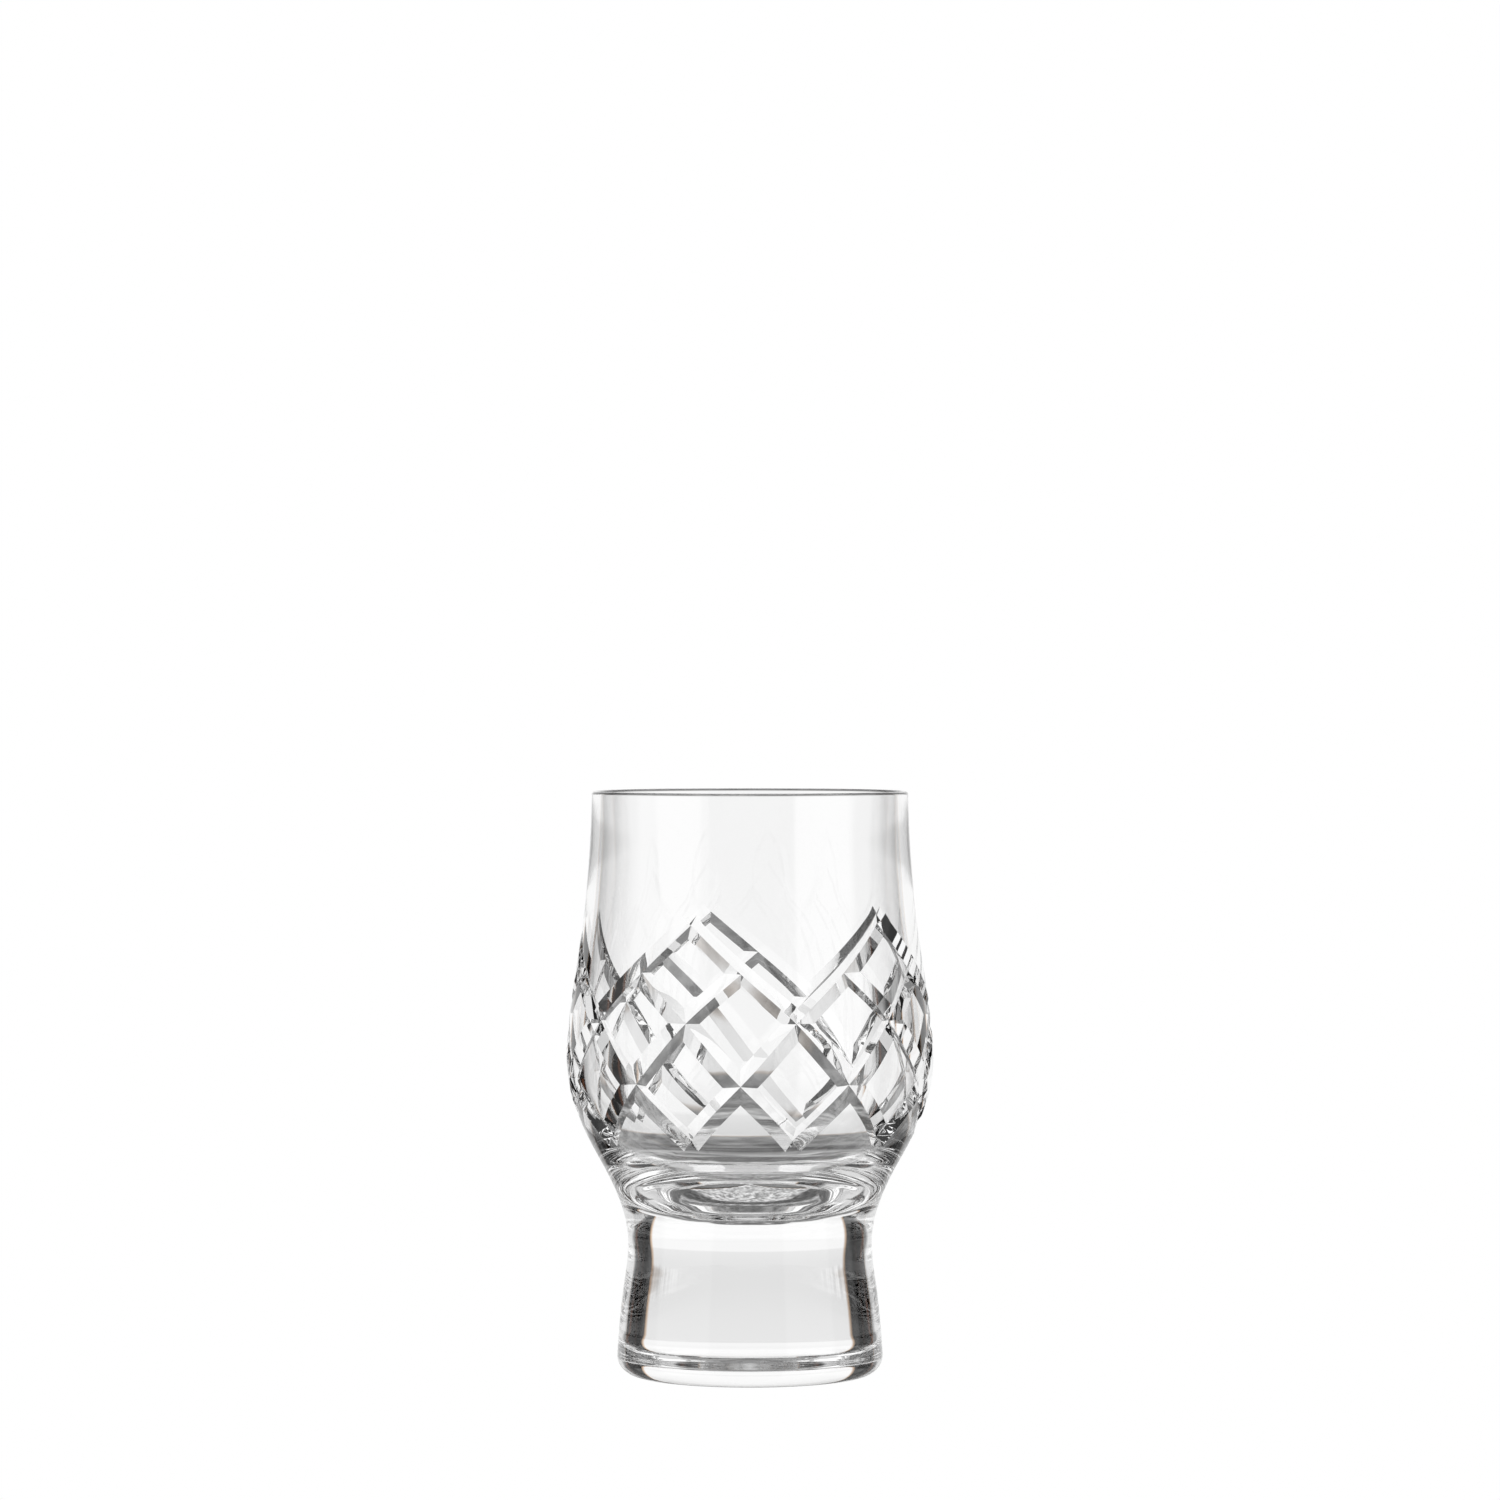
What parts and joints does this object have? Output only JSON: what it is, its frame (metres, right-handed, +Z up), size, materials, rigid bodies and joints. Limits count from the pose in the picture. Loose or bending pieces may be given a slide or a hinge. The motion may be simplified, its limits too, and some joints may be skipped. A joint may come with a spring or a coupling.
{
  "type": "whiskey tumbler",
  "caption": "Clear glass tumbler with a thin-lipped rounded bowl, a diamond lattice of mitre cuts round the belly, a narrow waist and a heavy solid foot.",
  "frame": {"origin": "middle of the flat face that the tumbler stands on", "axes": "+Z up along the axis of the glass, from the foot to the lip"},
  "size_m": [0.0704, 0.0702, 0.112],
  "materials": {
    "crystal": "clear polished crystal"
  },
  "bodies": {
    "root": {"bowl": "crystal", "foot": "crystal"}
  },
  "joints": []
}
